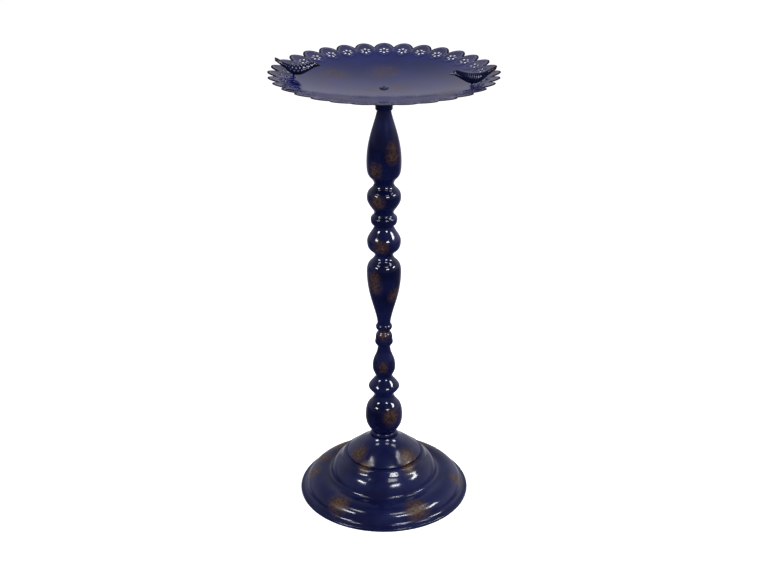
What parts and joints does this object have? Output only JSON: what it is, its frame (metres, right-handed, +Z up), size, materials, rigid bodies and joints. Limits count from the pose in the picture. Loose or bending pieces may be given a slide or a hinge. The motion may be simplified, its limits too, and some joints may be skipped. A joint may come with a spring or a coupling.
{
  "type": "bird bath",
  "caption": "Pedestal bird bath: shallow scalloped and pierced dish with two perching birds on a slim column of turned balls, rings and balusters over a domed, stepped round base.",
  "frame": {"origin": "centre of the ring that the base stands on, at ground level", "axes": "+Z up along the column; +X to the right of a viewer who stands on the -Y side, with one bird at each hand"},
  "size_m": [0.4, 0.4, 0.8561],
  "materials": {
    "blue_paint": "glossy navy paint, rubbed through to rust brown in patches",
    "dish_paint": "glossy navy paint with worn dark edges and faint bronze patches",
    "bird_paint": "glossy dark navy paint, brown at beak and tail",
    "zinc_steel": "zinc plated",
    "black_rubber": "matt moulded rubber"
  },
  "bodies": {
    "root": {"base_flange": "blue_paint", "base_nut": "zinc_steel", "base_washer": "zinc_steel", "bird_nuts": "zinc_steel", "bird_washers": "black_rubber", "bolt_seal": "black_rubber", "diamond_ring": "blue_paint", "dish": "dish_paint", "dish_bolt": "dish_paint", "dish_gasket": "black_rubber", "dish_seat": "blue_paint", "dome_cap": "blue_paint", "left_bird": "bird_paint", "left_bird_leg": "blue_paint", "lock_washer": "zinc_steel", "lower_ball": "blue_paint", "lower_baluster": "blue_paint", "lower_rod": "zinc_steel", "neck_ring": "blue_paint", "right_bird": "bird_paint", "right_bird_leg": "blue_paint", "second_ball": "blue_paint", "small_bulb": "blue_paint", "small_ring": "blue_paint", "top_collar": "blue_paint", "top_coupler": "zinc_steel", "upper_ball": "blue_paint", "upper_rod": "zinc_steel", "upper_vase": "blue_paint", "waist_bead": "blue_paint", "waist_collar_lower": "blue_paint", "waist_collar_upper": "blue_paint", "waist_coupler": "zinc_steel"}
  },
  "joints": []
}
